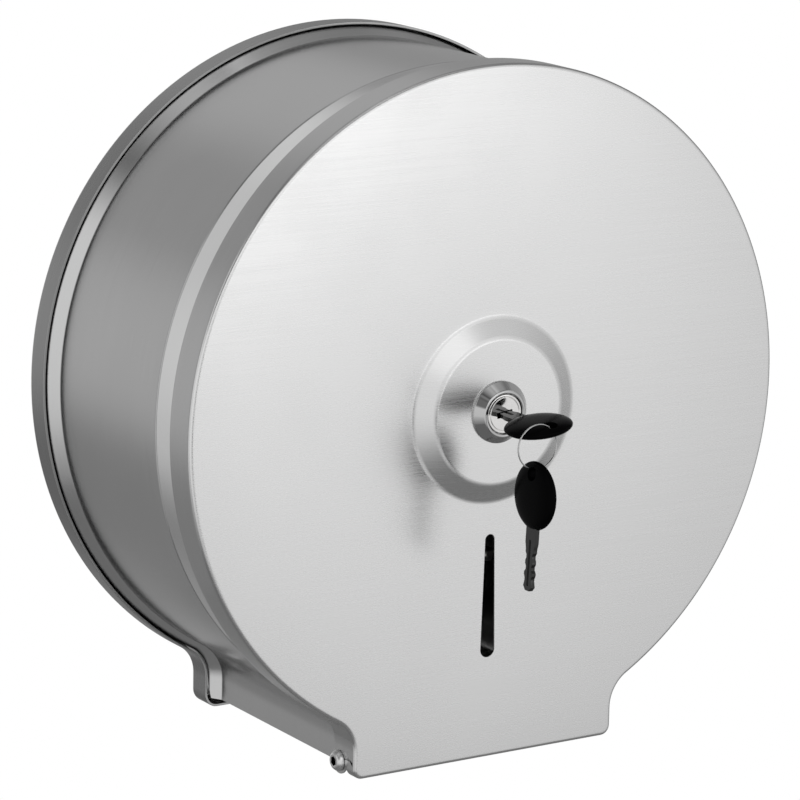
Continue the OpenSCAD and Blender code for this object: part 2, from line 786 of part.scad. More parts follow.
// Thin hexagonal nut that clamps the lock in the boss.
module lock_nut() {
    color(zinc) off_wall() translate([0, 0, boss_in_z - lock_washer_t - lock_nut_t])
        difference() {
            hexagon(lock_nut_af, lock_nut_t);
            translate([0, 0, -past])
                cylinder(h = lock_nut_t + 2 * past, r = barrel_r + lock_thread_play);
        }
}

// Turns a piece about the lock's axis with the key.
module key_turned() {
    rotate(key_tilt) children();
}

// The turning plug, with its keyway, wafer slots and a square tail for the cam.
module lock_plug() {
    color(nickel) off_wall() difference() {
        union() {
            translate([0, 0, plug_head_z])
                cylinder(h = plug_face_z - plug_head_z, r = plug_head_r);
            translate([0, 0, plug_end_z]) cylinder(h = plug_face_z - plug_end_z, r = plug_r);
            translate([-cam_square / 2, -cam_square / 2, cam_z])
                cube([cam_square, cam_square, cam_t + past]);
        }
        key_turned() {
            translate([-keyway_w / 2, -keyway_h / 2, keyway_end_z])
                cube([keyway_w, keyway_h, plug_face_z - keyway_end_z + past]);
            for (i = [0 : wafer_count - 1])
                translate([-wafer_w / 2 - wafer_side, -wafer_h / 2 - 2 * wafer_side,
                    wafer_first_z + i * wafer_pitch - wafer_side])
                    cube([wafer_w, wafer_h, wafer_t] + wafer_side * [2, 4, 2]);
        }
        translate([0, 0, cam_z - past])
            cylinder(h = cam_screw_len + past, r = cam_screw_r + hole_play);
    }
}

// Flat cam on the plug's tail, pointing up when the cover is free to open.
module lock_cam() {
    color(zinc) off_wall() translate([0, 0, cam_z]) difference() {
        union() {
            cylinder(h = cam_t, r = cam_hub_r);
            translate([-cam_w / 2, 0, 0]) cube([cam_w, cam_reach, cam_t]);
        }
        translate([-cam_square / 2 - slip, -cam_square / 2 - slip, -past])
            cube([cam_square + 2 * slip, cam_square + 2 * slip, cam_t + 2 * past]);
    }
}

// Screw that holds the cam on the plug.
module cam_screw() {
    color(zinc) off_wall() {
        translate([0, 0, cam_z - cam_screw_head_h])
            cylinder(h = cam_screw_head_h, r1 = cam_screw_head_r - 0.6, r2 = cam_screw_head_r);
        translate([0, 0, cam_z]) cylinder(h = cam_screw_len - past, r = cam_screw_r);
    }
}

// Wafers in the plug, each a plate with a window for the key.
module lock_wafers() {
    color(brass) off_wall() key_turned() for (i = [0 : wafer_count - 1])
        translate([0, 0, wafer_first_z + i * wafer_pitch]) linear_extrude(wafer_t)
            difference() {
                square([wafer_w, wafer_h], center = true);
                square([keyway_w - 0.2, keyway_h], center = true);
            }
}

// A key's blade with its tang, the tip at z = 0 and the blade's width along x.
module blade() {
    side = concat([[blade_half - tip_taper, 0], [blade_half - cuts[1], tip_h]],
        [for (i = [0 : len(cuts) - 1], end = [0, 1])
            [blade_half - cuts[i], cut_from + (i + 0.25 + end / 2) * cut_step]],
        [[blade_half - cuts[1], cut_from + len(cuts) * cut_step],
            [blade_half, blade_len - shoulder_h], [blade_half, blade_len]]);
    difference() {
        translate([0, blade_t / 2, 0]) rotate([90, 0, 0]) linear_extrude(blade_t) {
            polygon(concat(side, [for (i = [len(side) - 1 : -1 : 0]) [-side[i].x, side[i].y]]));
            translate([-tang_w / 2, blade_len - past]) square([tang_w, past]);
        }
        translate([-groove_w / 2, blade_t / 4, groove_from])
            cube([groove_w, blade_t, blade_len - groove_from - groove_plain]);
    }
    translate([-tang_w / 2, -tang_t / 2, blade_len - past])
        cube([tang_w, tang_t, tang_len + past]);
}

// A key's round plastic bow, its middle at the origin, its ring hole towards +z and its
// flat sides facing y.
module bow() {
    difference() {
        rotate([90, 0, 0]) rotate_extrude()
            polygon([for (a = [-90 : 15 : 90])
                [bow_r * pow(cos(a), bow_rim), bow_t / 2 * sin(a)]]);
        translate([0, bow_t, ring_hole_off]) rotate([90, 0, 0])
            cylinder(h = 2 * bow_t, r = ring_hole_r);
        translate([-tang_w / 2 - slip, -tang_t / 2 - slip, -bow_r - past])
            cube([tang_w + 2 * slip, tang_t + 2 * slip, tang_len + past + slip]);
    }
}

// The key in the lock, which stands a little turned.
module key_blade() {
    color(nickel) off_wall() key_turned() translate([0, 0, key_tip_z]) blade();
}

module key_bow() {
    color(black_plastic) off_wall() key_turned() translate([0, 0, bow_z]) bow();
}

// Wire ring through the bow of the key in the lock.
module key_ring() {
    color(chrome) off_wall() translate([ring_x, ring_y, ring_z])
        rotate_extrude() translate([ring_r, 0]) circle(ring_wire_r);
}

// Turns a key so that it hangs from the ring, tip down and edge to the front.
module hung() {
    translate([ring_x, spare_hole_y, ring_z]) rotate(-spare_lean)
        translate([0, -ring_hole_off, 0]) rotate([-90, 0, 0]) rotate(90) children();
}

module spare_key_blade() {
    color(nickel) off_wall() hung() translate([0, 0, -bow_r - blade_len]) blade();
}

module spare_key_bow() {
    color(black_plastic) off_wall() hung() bow();
}

back_plate();
drum_wall();
drum_flange();
body_rivets();
tear_strip_left();
tear_strip_right();
spindle_tube();
spindle_rivets();
thrust_washer();
spindle_cap();
cap_pins();
hinge_screws();
hinge_washers();
hinge_nuts();
core_hub();
front_cover();
lock_housing();
lock_washer();
lock_nut();
lock_plug();
lock_cam();
cam_screw();
lock_wafers();
key_blade();
key_bow();
key_ring();
spare_key_blade();
spare_key_bow();
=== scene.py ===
"""Looks of the jumbo toilet roll dispenser: a satin steel case, its chromed lock and keys.

Each piece is drawn in millimetres as seen from the front, x to the right, y up and z out
from the wall, and is stood up into the frame when it is finished.
"""

import json
import math

import bmesh
import bpy
from mathutils import Matrix, Vector


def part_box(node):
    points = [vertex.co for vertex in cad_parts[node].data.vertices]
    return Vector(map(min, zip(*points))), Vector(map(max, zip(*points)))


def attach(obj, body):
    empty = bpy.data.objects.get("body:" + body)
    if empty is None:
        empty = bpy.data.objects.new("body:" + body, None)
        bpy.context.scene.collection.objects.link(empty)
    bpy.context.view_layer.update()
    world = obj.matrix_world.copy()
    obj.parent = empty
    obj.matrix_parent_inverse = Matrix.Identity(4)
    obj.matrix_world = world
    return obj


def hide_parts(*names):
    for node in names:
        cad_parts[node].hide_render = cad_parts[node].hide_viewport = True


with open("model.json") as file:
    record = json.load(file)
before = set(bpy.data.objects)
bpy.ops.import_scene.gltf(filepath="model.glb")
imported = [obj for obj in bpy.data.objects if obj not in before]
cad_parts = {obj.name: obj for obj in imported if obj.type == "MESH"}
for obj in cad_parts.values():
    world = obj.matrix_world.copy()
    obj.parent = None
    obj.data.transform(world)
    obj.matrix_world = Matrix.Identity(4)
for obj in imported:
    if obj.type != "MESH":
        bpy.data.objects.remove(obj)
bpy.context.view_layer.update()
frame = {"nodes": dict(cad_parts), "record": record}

MM = 0.001
STAND_UP = Matrix.Scale(MM, 4) @ Matrix.Rotation(math.radians(90), 4, "X")
X, Z = (1, 0, 0), (0, 0, 1)


def box_mm(node):
    """A CAD node's lowest and highest corners in the drawing's millimetres."""
    corners = [STAND_UP.inverted() @ Vector(corner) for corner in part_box(node)]
    return Vector(map(min, *corners)), Vector(map(max, *corners))


# ---------------------------------------------------------------- sizes, in millimetres

cover_low, cover_high = box_mm("front_cover")
FACE_R = cover_high.x  # radius of the round front
FOOT_Y = cover_low.y  # foot of the front
NECK_HALF = 59.5  # half the width of the neck
FILLET_R = 15  # inside corner between round and neck
FOOT_R = 4  # corners of the foot
FILLET_X = NECK_HALF + FILLET_R
FILLET_Y = -math.sqrt((FACE_R + FILLET_R) ** 2 - FILLET_X**2)
FILLET_TURN = math.degrees(math.atan2(-FILLET_Y, FILLET_X))
HEAD_STEPS, FILLET_STEPS, CORNER_STEPS = 96, 20, 8

BOSS_Z = cover_high.z  # flat top of the boss
BOSS_H = 4
FACE_Z = BOSS_Z - BOSS_H  # the flat front face
SHEET = 0.8
CUT_EDGE = 0.12  # rounding of the sheet's cut edges
BEND_R = 1.5
BEND_STEPS = 8
RIM_STRIP = 0.6  # flat strip inside a bend, before the sheet's face
FLANGE = 14.5  # depth of the cover's flange
BOSS_R, BOSS_TOP_R = 36, 28.5
BOSS_STRIP = 3  # flat strip round the boss
SLOT_TOP_Y, SLOT_FOOT_Y = -49, -98
SLOT_TOP_R, SLOT_FOOT_R = 2.1, 3.2
BARREL_R = 9.5
HINGE_Y = FOOT_Y + 5.2
HINGE_Z = FACE_Z - 11.2
EAR_R = 5.2

pan_high = box_mm("back_plate")[1]
PAN_OUT = pan_high.x - FACE_R
PAN_DEPTH = pan_high.z
PAN_T, PAN_BEND_R = 1, 2
SCREW_HALF, SCREW_HOLE_R = 60, 3
SEAT_R, SEAT_FOOT_R, SEAT_H = 36, 41, 3
SEAT_STRIP = 2  # flat strips round the seat's foot and inside its top
DRUM_RIVET_CIRCLE_R, DRUM_RIVET_HOLE_R = 126, 2.9
TUBE_RIVET_CIRCLE_R, TUBE_RIVET_HOLE_R = 28.5, 2.1

LIP_Z = box_mm("drum_wall")[1].z
LIP_W = 4.7
DRUM_FRONT, DRUM_WAIST, DRUM_REAR = -1.5, -3.4, -0.2
BAND, TAPER = 16, 15  # depths of the front band and of the taper behind it
REAR_BAND, REAR_STEP = 11.0, 5.4  # depths of the rear band and of the step in to the waist
CREASE_HALF, CREASE_IN, CREASE_OUT = 0.7, 0.3, 0.1
TAPER_TOP_Y, TAPER_RUN, TAPER_LOSS = -90, 38, 0.78  # how the taper shortens down the neck
WALL_FOOT_Y = FOOT_Y + 2.6
CUT_BACK = [(-FACE_R + 17.5, 8), (HINGE_Y - 5.4, 12.6)]  # y and z of the neck walls' rear edge
TAB_R = 4.4

BEZEL_R, BEZEL_RIM_R, BEZEL_BORE_R, BEZEL_H = 12.1, 9.1, 7.9, 4.5
BEZEL_FOOT = 0.8  # depth of its upright foot
PLUG_R, PLUG_HEAD_R, PLUG_GAP = 6, 7.6, 0.1
GROOVE_R, GROOVE_DEPTH = 6.5, 0.25  # fine ring round the plug's face
PLUG_FACE_Z, PLUG_HEAD_Z = BOSS_Z + 4, BOSS_Z + 1.2
BARREL_END_Z, PLUG_END_Z = FACE_Z - 12.7, FACE_Z - 15
KEYWAY_HALF_W, KEYWAY_HALF_T = 3.5, 1.1

SCREW_SEAT_X = NECK_HALF + 0.1  # the underside of a hinge screw's head
SCREW_HEAD_R, SCREW_HEAD_H, SCREW_CROWN_R, SCREW_EDGE_H = 4.1, 2.5, 2.9, 1.1
SHOULDER_R, SHOULDER_LEN, THREAD_R, SCREW_LEN = 2.5, 1.6, 2, 5.2
HEX_ACROSS, HEX_FLOOR = 3.4, 0.8

KEY_TILT, SPARE_LEAN = 8, 3  # degrees from level, and from upright
BLADE_W, BLADE_T, BLADE_LEN = 6.4, 1.8, 23.5
BOW_R, BOW_T, BOW_RIM = 13, 5.6, 0.7
HOLE_OFF, HOLE_R = 8.4, 2.6
KEY_TIP_Z = BOSS_Z - 10
BOW_Z = KEY_TIP_Z + BLADE_LEN + BOW_R
RING_R, WIRE_R = 8.6, 0.5
RING_X, RING_Z = -5.9, BOW_Z + HOLE_OFF
RING_Y = box_mm("key_ring")[1].y - RING_R - WIRE_R
SPARE_HOLE_Y = RING_Y - RING_R + WIRE_R + 0.45 - HOLE_R

# where the keys' bows are: a key is drawn upright, its tip down, with its bow at the origin
KEY_PLACE = (
    Matrix.Rotation(math.radians(KEY_TILT), 4, "Z")
    @ Matrix.Translation((0, 0, BOW_Z))
)
SPARE_PLACE = (
    Matrix.Translation((RING_X, SPARE_HOLE_Y, RING_Z))
    @ Matrix.Rotation(math.radians(-SPARE_LEAN), 4, "Z")
    @ Matrix.Translation((0, -HOLE_OFF, 0))
    @ Matrix.Rotation(math.radians(-90), 4, "X")
    @ Matrix.Rotation(math.radians(90), 4, "Z")
)


# ---------------------------------------------------------------- drawing with bmesh


class Pen:
    """Draws a chain of edges in a bmesh with the extrude and spin operators."""

    def __init__(self, bm, start):
        self.bm = bm
        self.old = set(bm.edges)
        self.tip = bm.verts.new(start)

    def line(self, end, steps=1):
        start, end = self.tip.co.copy(), Vector(end)
        for step in range(steps):
            self.tip = bmesh.ops.extrude_vert_indiv(self.bm, verts=[self.tip])["verts"][0]
            self.tip.co = start.lerp(end, (step + 1) / steps)
        return self

    def arc(self, centre, degrees, steps, axis=Z):
        made = bmesh.ops.spin(
            self.bm,
            geom=[self.tip],
            cent=centre,
            axis=axis,
            angle=math.radians(degrees),
            steps=steps,
        )
        self.tip = next(g for g in made["geom_last"] if isinstance(g, bmesh.types.BMVert))
        return self

    def edges(self):
        return [edge for edge in self.bm.edges if edge not in self.old]

    def mirrored(self):
        """Adds the left half to a chain drawn on the right, and gives all its edges."""
        edges = self.edges()
        verts = {vert for edge in edges for vert in edge.verts}
        bmesh.ops.mirror(
            self.bm, geom=[*verts, *edges], matrix=Matrix(), merge_dist=1e-3, axis="X"
        )
        return self.edges()


def outline(bm, offset, level, open_y=None):
    """The outline of the case, this far outside the front's own, at this level.
    The foot is closed, or the neck is open at open_y."""
    side = NECK_HALF + offset
    pen = Pen(bm, (0, FACE_R + offset, level))
    pen.arc((0, 0, level), -(90 + FILLET_TURN), HEAD_STEPS)
    pen.arc((FILLET_X, FILLET_Y, level), FILLET_TURN, FILLET_STEPS)
    pen.line((side, HINGE_Y, level), 4)
    if open_y is not None:
        pen.line((side, open_y, level))
    else:
        pen.line((side, FOOT_Y + FOOT_R, level))
        pen.arc((NECK_HALF - FOOT_R, FOOT_Y + FOOT_R, level), -90, CORNER_STEPS)
        pen.line((0, pen.tip.co.y, level), 6)
    return pen.mirrored()


def bridge(bm, loops):
    """Joins each loop of edges to the next, and gives the faces of each strip."""
    return [
        bmesh.ops.bridge_loops(bm, edges=first + second)["faces"]
        for first, second in zip(loops, loops[1:])
    ]


def rounded(points, reaches, segments=5):
    """A chain of points whose inner corners are rounded, each over its own reach."""
    bm = bmesh.new()
    verts = [bm.verts.new((*point, 0)) for point in points]
    for pair in zip(verts, verts[1:]):
        bm.edges.new(pair)
    for vert, reach in zip(verts[1:-1], reaches):
        if reach:
            bmesh.ops.bevel(
                bm,
                geom=[vert],
                offset=reach,
                offset_type="OFFSET",
                segments=segments,
                profile=0.5,
                affect="VERTICES",
                material=-1,
            )
    chain, last = [verts[0]], None
    while True:
        onward = [e for e in chain[-1].link_edges if e is not last]
        if not onward:
            break
        last = onward[0]
        chain.append(last.other_vert(chain[-1]))
    found = [(vert.co.x, vert.co.y) for vert in chain]
    bm.free()
    return found


def turned(bm, chain, steps=96, centre=(0, 0)):
    """Turns a chain of (radius, level) about an axis out from the wall."""
    old = set(bm.verts)
    verts = [bm.verts.new((centre[0] + r, centre[1], z)) for r, z in chain]
    edges = [bm.edges.new(pair) for pair in zip(verts, verts[1:])]
    bmesh.ops.spin(
        bm,
        geom=verts + edges,
        cent=(*centre, 0),
        axis=Z,
        angle=math.tau,
        steps=steps,
        use_merge=True,
    )
    new = [vert for vert in bm.verts if vert not in old]
    bmesh.ops.remove_doubles(bm, verts=new, dist=1e-4)
    return [vert for vert in bm.verts if vert not in old]


def circle(bm, x, y, level, radius, steps=32):
    """A ring of edges."""
    old = set(bm.edges)
    bmesh.ops.create_circle(
        bm, segments=steps, radius=radius, matrix=Matrix.Translation((x, y, level))
    )
    return [edge for edge in bm.edges if edge not in old]


def fill(bm, edges):
    """Flat faces inside the outer loop of edges, with the other loops left open."""
    made = bmesh.ops.triangle_fill(bm, use_beauty=True, use_dissolve=False, edges=edges)
    return [g for g in made["geom"] if isinstance(g, bmesh.types.BMFace)]


def rim_of(bm, radius, level, centre=(0, 0)):
    """The open edges on one circle."""
    middle = Vector((*centre, level))
    return [
        edge
        for edge in bm.edges
        if edge.is_boundary
        and all(abs((vert.co - middle).length - radius) < 0.02 for vert in edge.verts)
    ]


def break_edges(bm, width, over=50, segments=2, where=lambda edge: True):
    """Rounds the sharp edges slightly, as a deburred or moulded edge is."""
    sharp = [
        edge
        for edge in bm.edges
        if len(edge.link_faces) == 2
        and edge.calc_face_angle(0) > math.radians(over)
        and where(edge)
    ]
    bmesh.ops.bevel(
        bm,
        geom=sharp,
        offset=width,
        offset_type="OFFSET",
        segments=segments,
        profile=0.5,
        affect="EDGES",
        clamp_overlap=True,
        material=-1,
    )


def tool(bm):
    """A passing object, for a cut."""
    mesh = bpy.data.meshes.new("tool")
    bm.to_mesh(mesh)
    bm.free()
    made = bpy.data.objects.new("tool", mesh)
    bpy.context.scene.collection.objects.link(made)
    return made


def carve(bm, *cutters):
    """Cuts closed shapes out of a closed shape."""
    body, cutters = tool(bm), [tool(cutter) for cutter in cutters]
    for cutter in cutters:
        cut = body.modifiers.new("cut", "BOOLEAN")
        cut.object, cut.operation, cut.solver = cutter, "DIFFERENCE", "EXACT"
    bpy.context.view_layer.update()
    done = bmesh.new()
    done.from_object(body, bpy.context.evaluated_depsgraph_get())
    for made in (body, *cutters):
        mesh = made.data
        bpy.data.objects.remove(made)
        bpy.data.meshes.remove(mesh)
    bmesh.ops.remove_doubles(done, verts=done.verts, dist=1e-3)
    return done


def block(low, high):
    """A box between two corners, as a cutter."""
    low, high = Vector(low), Vector(high)
    bm = bmesh.new()
    bmesh.ops.create_cube(
        bm, matrix=Matrix.Translation((low + high) / 2) @ Matrix.Diagonal((*(high - low), 1))
    )
    return bm


def bar(radius, low, high, sides=48, place=None):
    """A round or hexagonal bar along z, as a cutter."""
    bm = bmesh.new()
    bmesh.ops.create_cone(
        bm,
        cap_ends=True,
        segments=sides,
        radius1=radius,
        radius2=radius,
        depth=high - low,
        matrix=(place or Matrix()) @ Matrix.Translation((0, 0, (low + high) / 2)),
    )
    return bm


BODY_OF = {
    node: body
    for body, nodes in frame["record"]["behaviour"]["bodies"].items()
    for node in nodes
}


def piece(name, bm, nodes, slot, paints, choose=None, sharp=50):
    """Finishes a drawing as a piece that stands for CAD nodes and rides on their body."""
    for face in bm.faces:
        face.smooth = True
        if choose:
            face.material_index = choose(face)
    for edge in bm.edges:
        edge.smooth = edge.calc_face_angle(0) < math.radians(sharp)
    bm.transform(STAND_UP)
    mesh = bpy.data.meshes.new(name)
    bm.to_mesh(mesh)
    bm.free()
    made = bpy.data.objects.new(name, mesh)
    bpy.context.scene.collection.objects.link(made)
    for paint in paints:
        mesh.materials.append(paint)
    # keeps the shading of flat faces flat beside their rounded edges
    even = made.modifiers.new("even_shading", "WEIGHTED_NORMAL")
    even.keep_sharp = True
    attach(made, BODY_OF[nodes[0]])
    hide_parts(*nodes)
    return made


def softened(node, width, paint, *cutters):
    """A plain fitting: its CAD shape with its edges broken."""
    source = frame["nodes"][node]
    bm = bmesh.new()
    bm.from_mesh(source.data)
    bm.transform(STAND_UP.inverted() @ source.matrix_world)
    bmesh.ops.remove_doubles(bm, verts=bm.verts, dist=1e-3)
    bmesh.ops.dissolve_limit(
        bm, angle_limit=math.radians(0.5), verts=bm.verts, edges=bm.edges
    )
    if cutters:
        bm = carve(bm, *cutters)
    break_edges(bm, width, 30)
    slot = next(p for p in frame["record"]["subparts"] if p["node"] == node)["material_slot"]
    piece(node + "_fitting", bm, [node], slot, [paint])


# ---------------------------------------------------------------- materials


class Value:
    """A socket in a material, on which sums are written as Python expressions."""

    def __init__(self, paint, socket):
        self.paint, self.socket = paint, socket

    def sum(self, operation, *values):
        return self.paint.node("ShaderNodeMath", {"operation": operation}, values)

    def __add__(self, other):
        return self.sum("ADD", self, other)

    def __sub__(self, other):
        return self.sum("SUBTRACT", self, other)

    def __rsub__(self, other):
        return self.sum("SUBTRACT", other, self)

    def __mul__(self, other):
        return self.sum("MULTIPLY", self, other)

    __radd__, __rmul__ = __add__, __mul__

    def __pow__(self, other):
        return self.sum("POWER", self, other)


class Paint:
    """The nodes of one material, or of the world."""

    def __init__(self, tree):
        self.tree = tree

    def node(self, kind, settings=(), inputs=(), out=0):
        """A node of this type: its settings first, then the values or links of its sockets."""
        made = self.tree.nodes.new(kind)
        for key, value in dict(settings).items():
            if key == "stops":
                ramp = made.color_ramp
                for stop, (place, tone) in zip(
                    [*ramp.elements, *(ramp.elements.new(0.5) for _ in value[2:])], value
                ):
                    stop.position, stop.color = place, (tone, tone, tone, 1)
            else:
                setattr(made, key, value)
        for key, value in inputs.items() if isinstance(inputs, dict) else enumerate(inputs):
            self.feed(made.inputs[key], value)
        return Value(self, made.outputs[out])

    def feed(self, socket, value):
        if isinstance(value, Value):
            self.tree.links.new(value.socket, socket)
        else:
            socket.default_value = value

    def mix(self, factor, first, second):
        return self.node(
            "ShaderNodeMix", {"data_type": "RGBA"}, {0: factor, 6: first, 7: second}, out=2
        )

    def noise(self, scale, detail=2.0, roughness=0.5, offset=(0, 0, 0)):
        """Noise with this many features to the metre along x, y and z."""
        place = self.node("ShaderNodeTexCoord", out="Object")
        place = self.node(
            "ShaderNodeMapping", {}, {"Vector": place, "Location": offset, "Scale": scale}
        )
        return self.node(
            "ShaderNodeTexNoise",
            {},
            {"Vector": place, "Scale": 1, "Detail": detail, "Roughness": roughness},
        )

    def smoothstep(self, value, low, high, to_low=0.0, to_high=1.0):
        return self.node(
            "ShaderNodeMapRange",
            {"interpolation_type": "SMOOTHSTEP"},
            {"Value": value, 1: low, 2: high, 3: to_low, 4: to_high},
        )

    def bump(self, height, distance, strength=1.0, normal=None):
        inputs = {"Height": height, "Distance": distance, "Strength": strength}
        if normal:
            inputs["Normal"] = normal
        return self.node("ShaderNodeBump", {}, inputs)


def finish(name, colour, roughness, normal=None, **plain):
    """Starts a material: what changes over the surface is worked out by `colour` and so on,
    which are functions of the material's nodes, and plain values go on the shader."""
    material = bpy.data.materials.new(name)
    material.use_nodes = True
    paint = Paint(material.node_tree)
    shader = material.node_tree.nodes["Principled BSDF"]
    for socket, made in (("Base Color", colour), ("Roughness", roughness), ("Normal", normal)):
        if made is not None:
            paint.feed(shader.inputs[socket], made(paint))
    for socket, value in plain.items():
        shader.inputs[socket.replace("_", " ")].default_value = value
    return material


def grey(tone, warmth=0.0):
    return (tone * (1 + warmth), tone, tone * (1 - warmth), 1)


def brushed(name, tone, grain, roughness=0.2, crown=0.0, unevenness=0.0004, grain_depth=2e-6):
    """Satin steel sheet: fine lines along the brushing, a cloudy polish, a slight
    unevenness of the sheet and, on the front, a crown towards its rim."""

    def lines(paint):
        return paint.noise(grain, 3, 0.6)

    def colour(paint):
        cloud = paint.noise((9, 9, 9), 2, 0.5)
        return paint.mix(
            lines(paint) * 0.6 + cloud * 0.4, grey(tone * 0.93), grey(tone * 1.07)
        )

    def rough(paint):
        wipe = paint.noise((30, 30, 30), 3, 0.55, (3, 1, 7))
        return roughness + (lines(paint) - 0.5) * 0.12 + (wipe - 0.5) * 0.07

    def relief(paint):
        sheet = paint.bump(paint.noise((4, 4, 4), 1, 0.4, (1, 5, 2)), unevenness)
        if crown:
            place = paint.node("ShaderNodeTexCoord", out="Object")
            radial = {"Vector": place, "Scale": (1 / (FACE_R * MM), 0, 1 / (FACE_R * MM))}
            radial = paint.node("ShaderNodeMapping", {}, radial)
            out = paint.node("ShaderNodeVectorMath", {"operation": "LENGTH"}, {0: radial}, "Value")
            sheet = paint.bump(1 - out**4, crown, 1, sheet)
        return paint.bump(lines(paint), grain_depth, 1, sheet)

    return finish(name, colour, rough, relief, Metallic=1.0)


def plated(name, tone, roughness, warmth=0.0, speck=0.03):
    """Bright plating, faintly mottled."""

    def colour(paint):
        mottle = paint.noise((400, 400, 400), 3)
        return paint.mix(mottle, grey(tone * (1 - speck), warmth), grey(tone * (1 + speck), warmth))

    def rough(paint):
        return roughness + paint.noise((700, 700, 700), 3) * roughness

    def relief(paint):
        return paint.bump(paint.noise((900, 900, 900), 2), 1e-6)

    return finish(name, colour, rough, relief, Metallic=1.0)


def moulded(name, colour, roughness, texture=4e-6, shine=0.5):
    """Moulded plastic with a fine surface."""

    def shade(paint):
        cloud = paint.noise((60, 60, 60), 3)
        low = tuple(c * 0.92 for c in colour[:3]) + (1,)
        return paint.mix(cloud, low, (*colour[:3], 1))

    def rough(paint):
        return roughness + paint.noise((500, 500, 500), 3) * roughness * 0.5

    def relief(paint):
        return paint.bump(paint.noise((1500, 1500, 1500), 3), texture)

    return finish(name, shade, rough, relief, Specular_IOR_Level=shine)


ALONG_X = (22, 22, 2400)  # lines that run across the front
ROUND_AXIS = (22, 2400, 22)  # lines that run round the drum

# One stainless steel in three tones: the front is lighter as painted light, the walls are darker and
# the inside darkest as painted shade.
lit_face_steel = brushed("lit_face_steel", 0.74, ALONG_X, 0.27, 0.0014)
shaded_wall_steel = brushed("shaded_wall_steel", 0.65, ROUND_AXIS, 0.2)
shaded_inside_steel = brushed("shaded_inside_steel", 0.55, ALONG_X, 0.3)
pan_steel = brushed("pan_steel", 0.36, ROUND_AXIS, 0.25)
zinc = plated("zinc", 0.55, 0.22, 0.01, 0.06)
chrome = plated("chrome", 0.52, 0.04)
satin_chrome = plated("satin_chrome", 0.7, 0.2)
nickel = plated("nickel", 0.8, 0.06, 0.01)
brass = plated("brass", 0.5, 0.2, 0.35)
white_plastic = moulded("white_plastic", (0.72, 0.72, 0.69), 0.4)
black_plastic = moulded("black_plastic", (0.002, 0.002, 0.0022), 0.14, 1e-6, 0.015)
# near-black steel: the nickel key blades and the screws' hexagon sockets are painted dark as painted
# shade
key_steel = plated("key_steel", 0.05, 0.12)


# ---------------------------------------------------------------- the cover


def slot_edges(bm, level):
    """The sight slot, round at both ends and wider at its foot."""
    foot_y = SLOT_FOOT_Y + SLOT_FOOT_R
    pen = Pen(bm, (0, SLOT_TOP_Y, level))
    pen.arc((0, SLOT_TOP_Y - SLOT_TOP_R, level), -90, 8)
    pen.line((SLOT_FOOT_R, foot_y, level))
    pen.arc((0, foot_y, level), -90, 8)
    return pen.mirrored()


def ear(bm, side):
    """Rounds the end of the flange about a hinge screw."""
    x = side * NECK_HALF
    pen = Pen(bm, (x, HINGE_Y, HINGE_Z - EAR_R))
    pen.arc((x, HINGE_Y, HINGE_Z), -180, 24, axis=X)
    wall = [
        edge
        for edge in bm.edges
        if edge.is_boundary
        and all(abs(v.co.x - x) < 0.01 and abs(v.co.y - HINGE_Y) < 0.01 for v in edge.verts)
        and all(v.co.z < HINGE_Z + EAR_R + 0.01 for v in edge.verts)
    ]
    bmesh.ops.contextual_create(bm, geom=pen.edges() + wall)


def quarter_turn():
    """The angles of the points of a bend."""
    return [math.radians(90 * i / BEND_STEPS) for i in range(BEND_STEPS + 1)]


def cover():
    bm = bmesh.new()
    bend_z = FACE_Z - BEND_R
    bend = [
        (-BEND_R * (1 - math.cos(a)), bend_z + BEND_R * math.sin(a)) for a in quarter_turn()
    ]
    foot_z = HINGE_Z + EAR_R
    edge_z = FACE_Z - FLANGE
    levels = [(0, edge_z), (0, HINGE_Z), (0, foot_z), *bend, (-BEND_R - RIM_STRIP, FACE_Z)]
    loops = [outline(bm, offset, level) for offset, level in levels]
    # the flange's rear edge runs into the round of the ear
    for vert in {v for edge in loops[0] for v in edge.verts}:
        if abs(vert.co.x) > NECK_HALF - 0.01 and vert.co.y < FILLET_Y:
            drop = EAR_R**2 - (vert.co.y - HINGE_Y) ** 2
            if drop > 0:
                vert.co.z = min(edge_z, HINGE_Z - math.sqrt(drop))
    strips = bridge(bm, loops)
    below = [f for strip in strips[:2] for f in strip if f.calc_center_median().y < HINGE_Y]
    bmesh.ops.delete(bm, geom=below, context="FACES")
    chain = rounded(
        [
            (BOSS_R + BOSS_STRIP, FACE_Z),
            (BOSS_R, FACE_Z),
            (BOSS_TOP_R, BOSS_Z),
            (BARREL_R + 0.15, BOSS_Z),
        ],
        [1.0, 1.1],
    )
    turned(bm, chain, 160)
    fill(bm, loops[-1] + rim_of(bm, BOSS_R + BOSS_STRIP, FACE_Z) + slot_edges(bm, FACE_Z))
    bmesh.ops.remove_doubles(bm, verts=bm.verts, dist=1e-3)
    for side in (-1, 1):
        ear(bm, side)
    bmesh.ops.remove_doubles(bm, verts=bm.verts, dist=1e-3)
    bmesh.ops.recalc_face_normals(bm, faces=bm.faces)
    bmesh.ops.solidify(bm, geom=bm.faces, thickness=SHEET)
    bmesh.ops.recalc_face_normals(bm, faces=bm.faces)
    break_edges(bm, CUT_EDGE, 60)

    # picks the steel's tone by which way a face looks: the front lighter as painted light, the flange
    # darker and the inside darkest as painted shade
    def choose(face):
        level = face.calc_center_median().z
        if face.normal.z > 0.7 and level > FACE_Z - 1:
            return 0
        return 2 if face.normal.z < -0.5 else 1

    paints = [lit_face_steel, shaded_wall_steel, shaded_inside_steel]
    piece("front_cover_sheet", bm, ["front_cover"], "stainless", paints, choose)


# ---------------------------------------------------------------- the drum and back pan


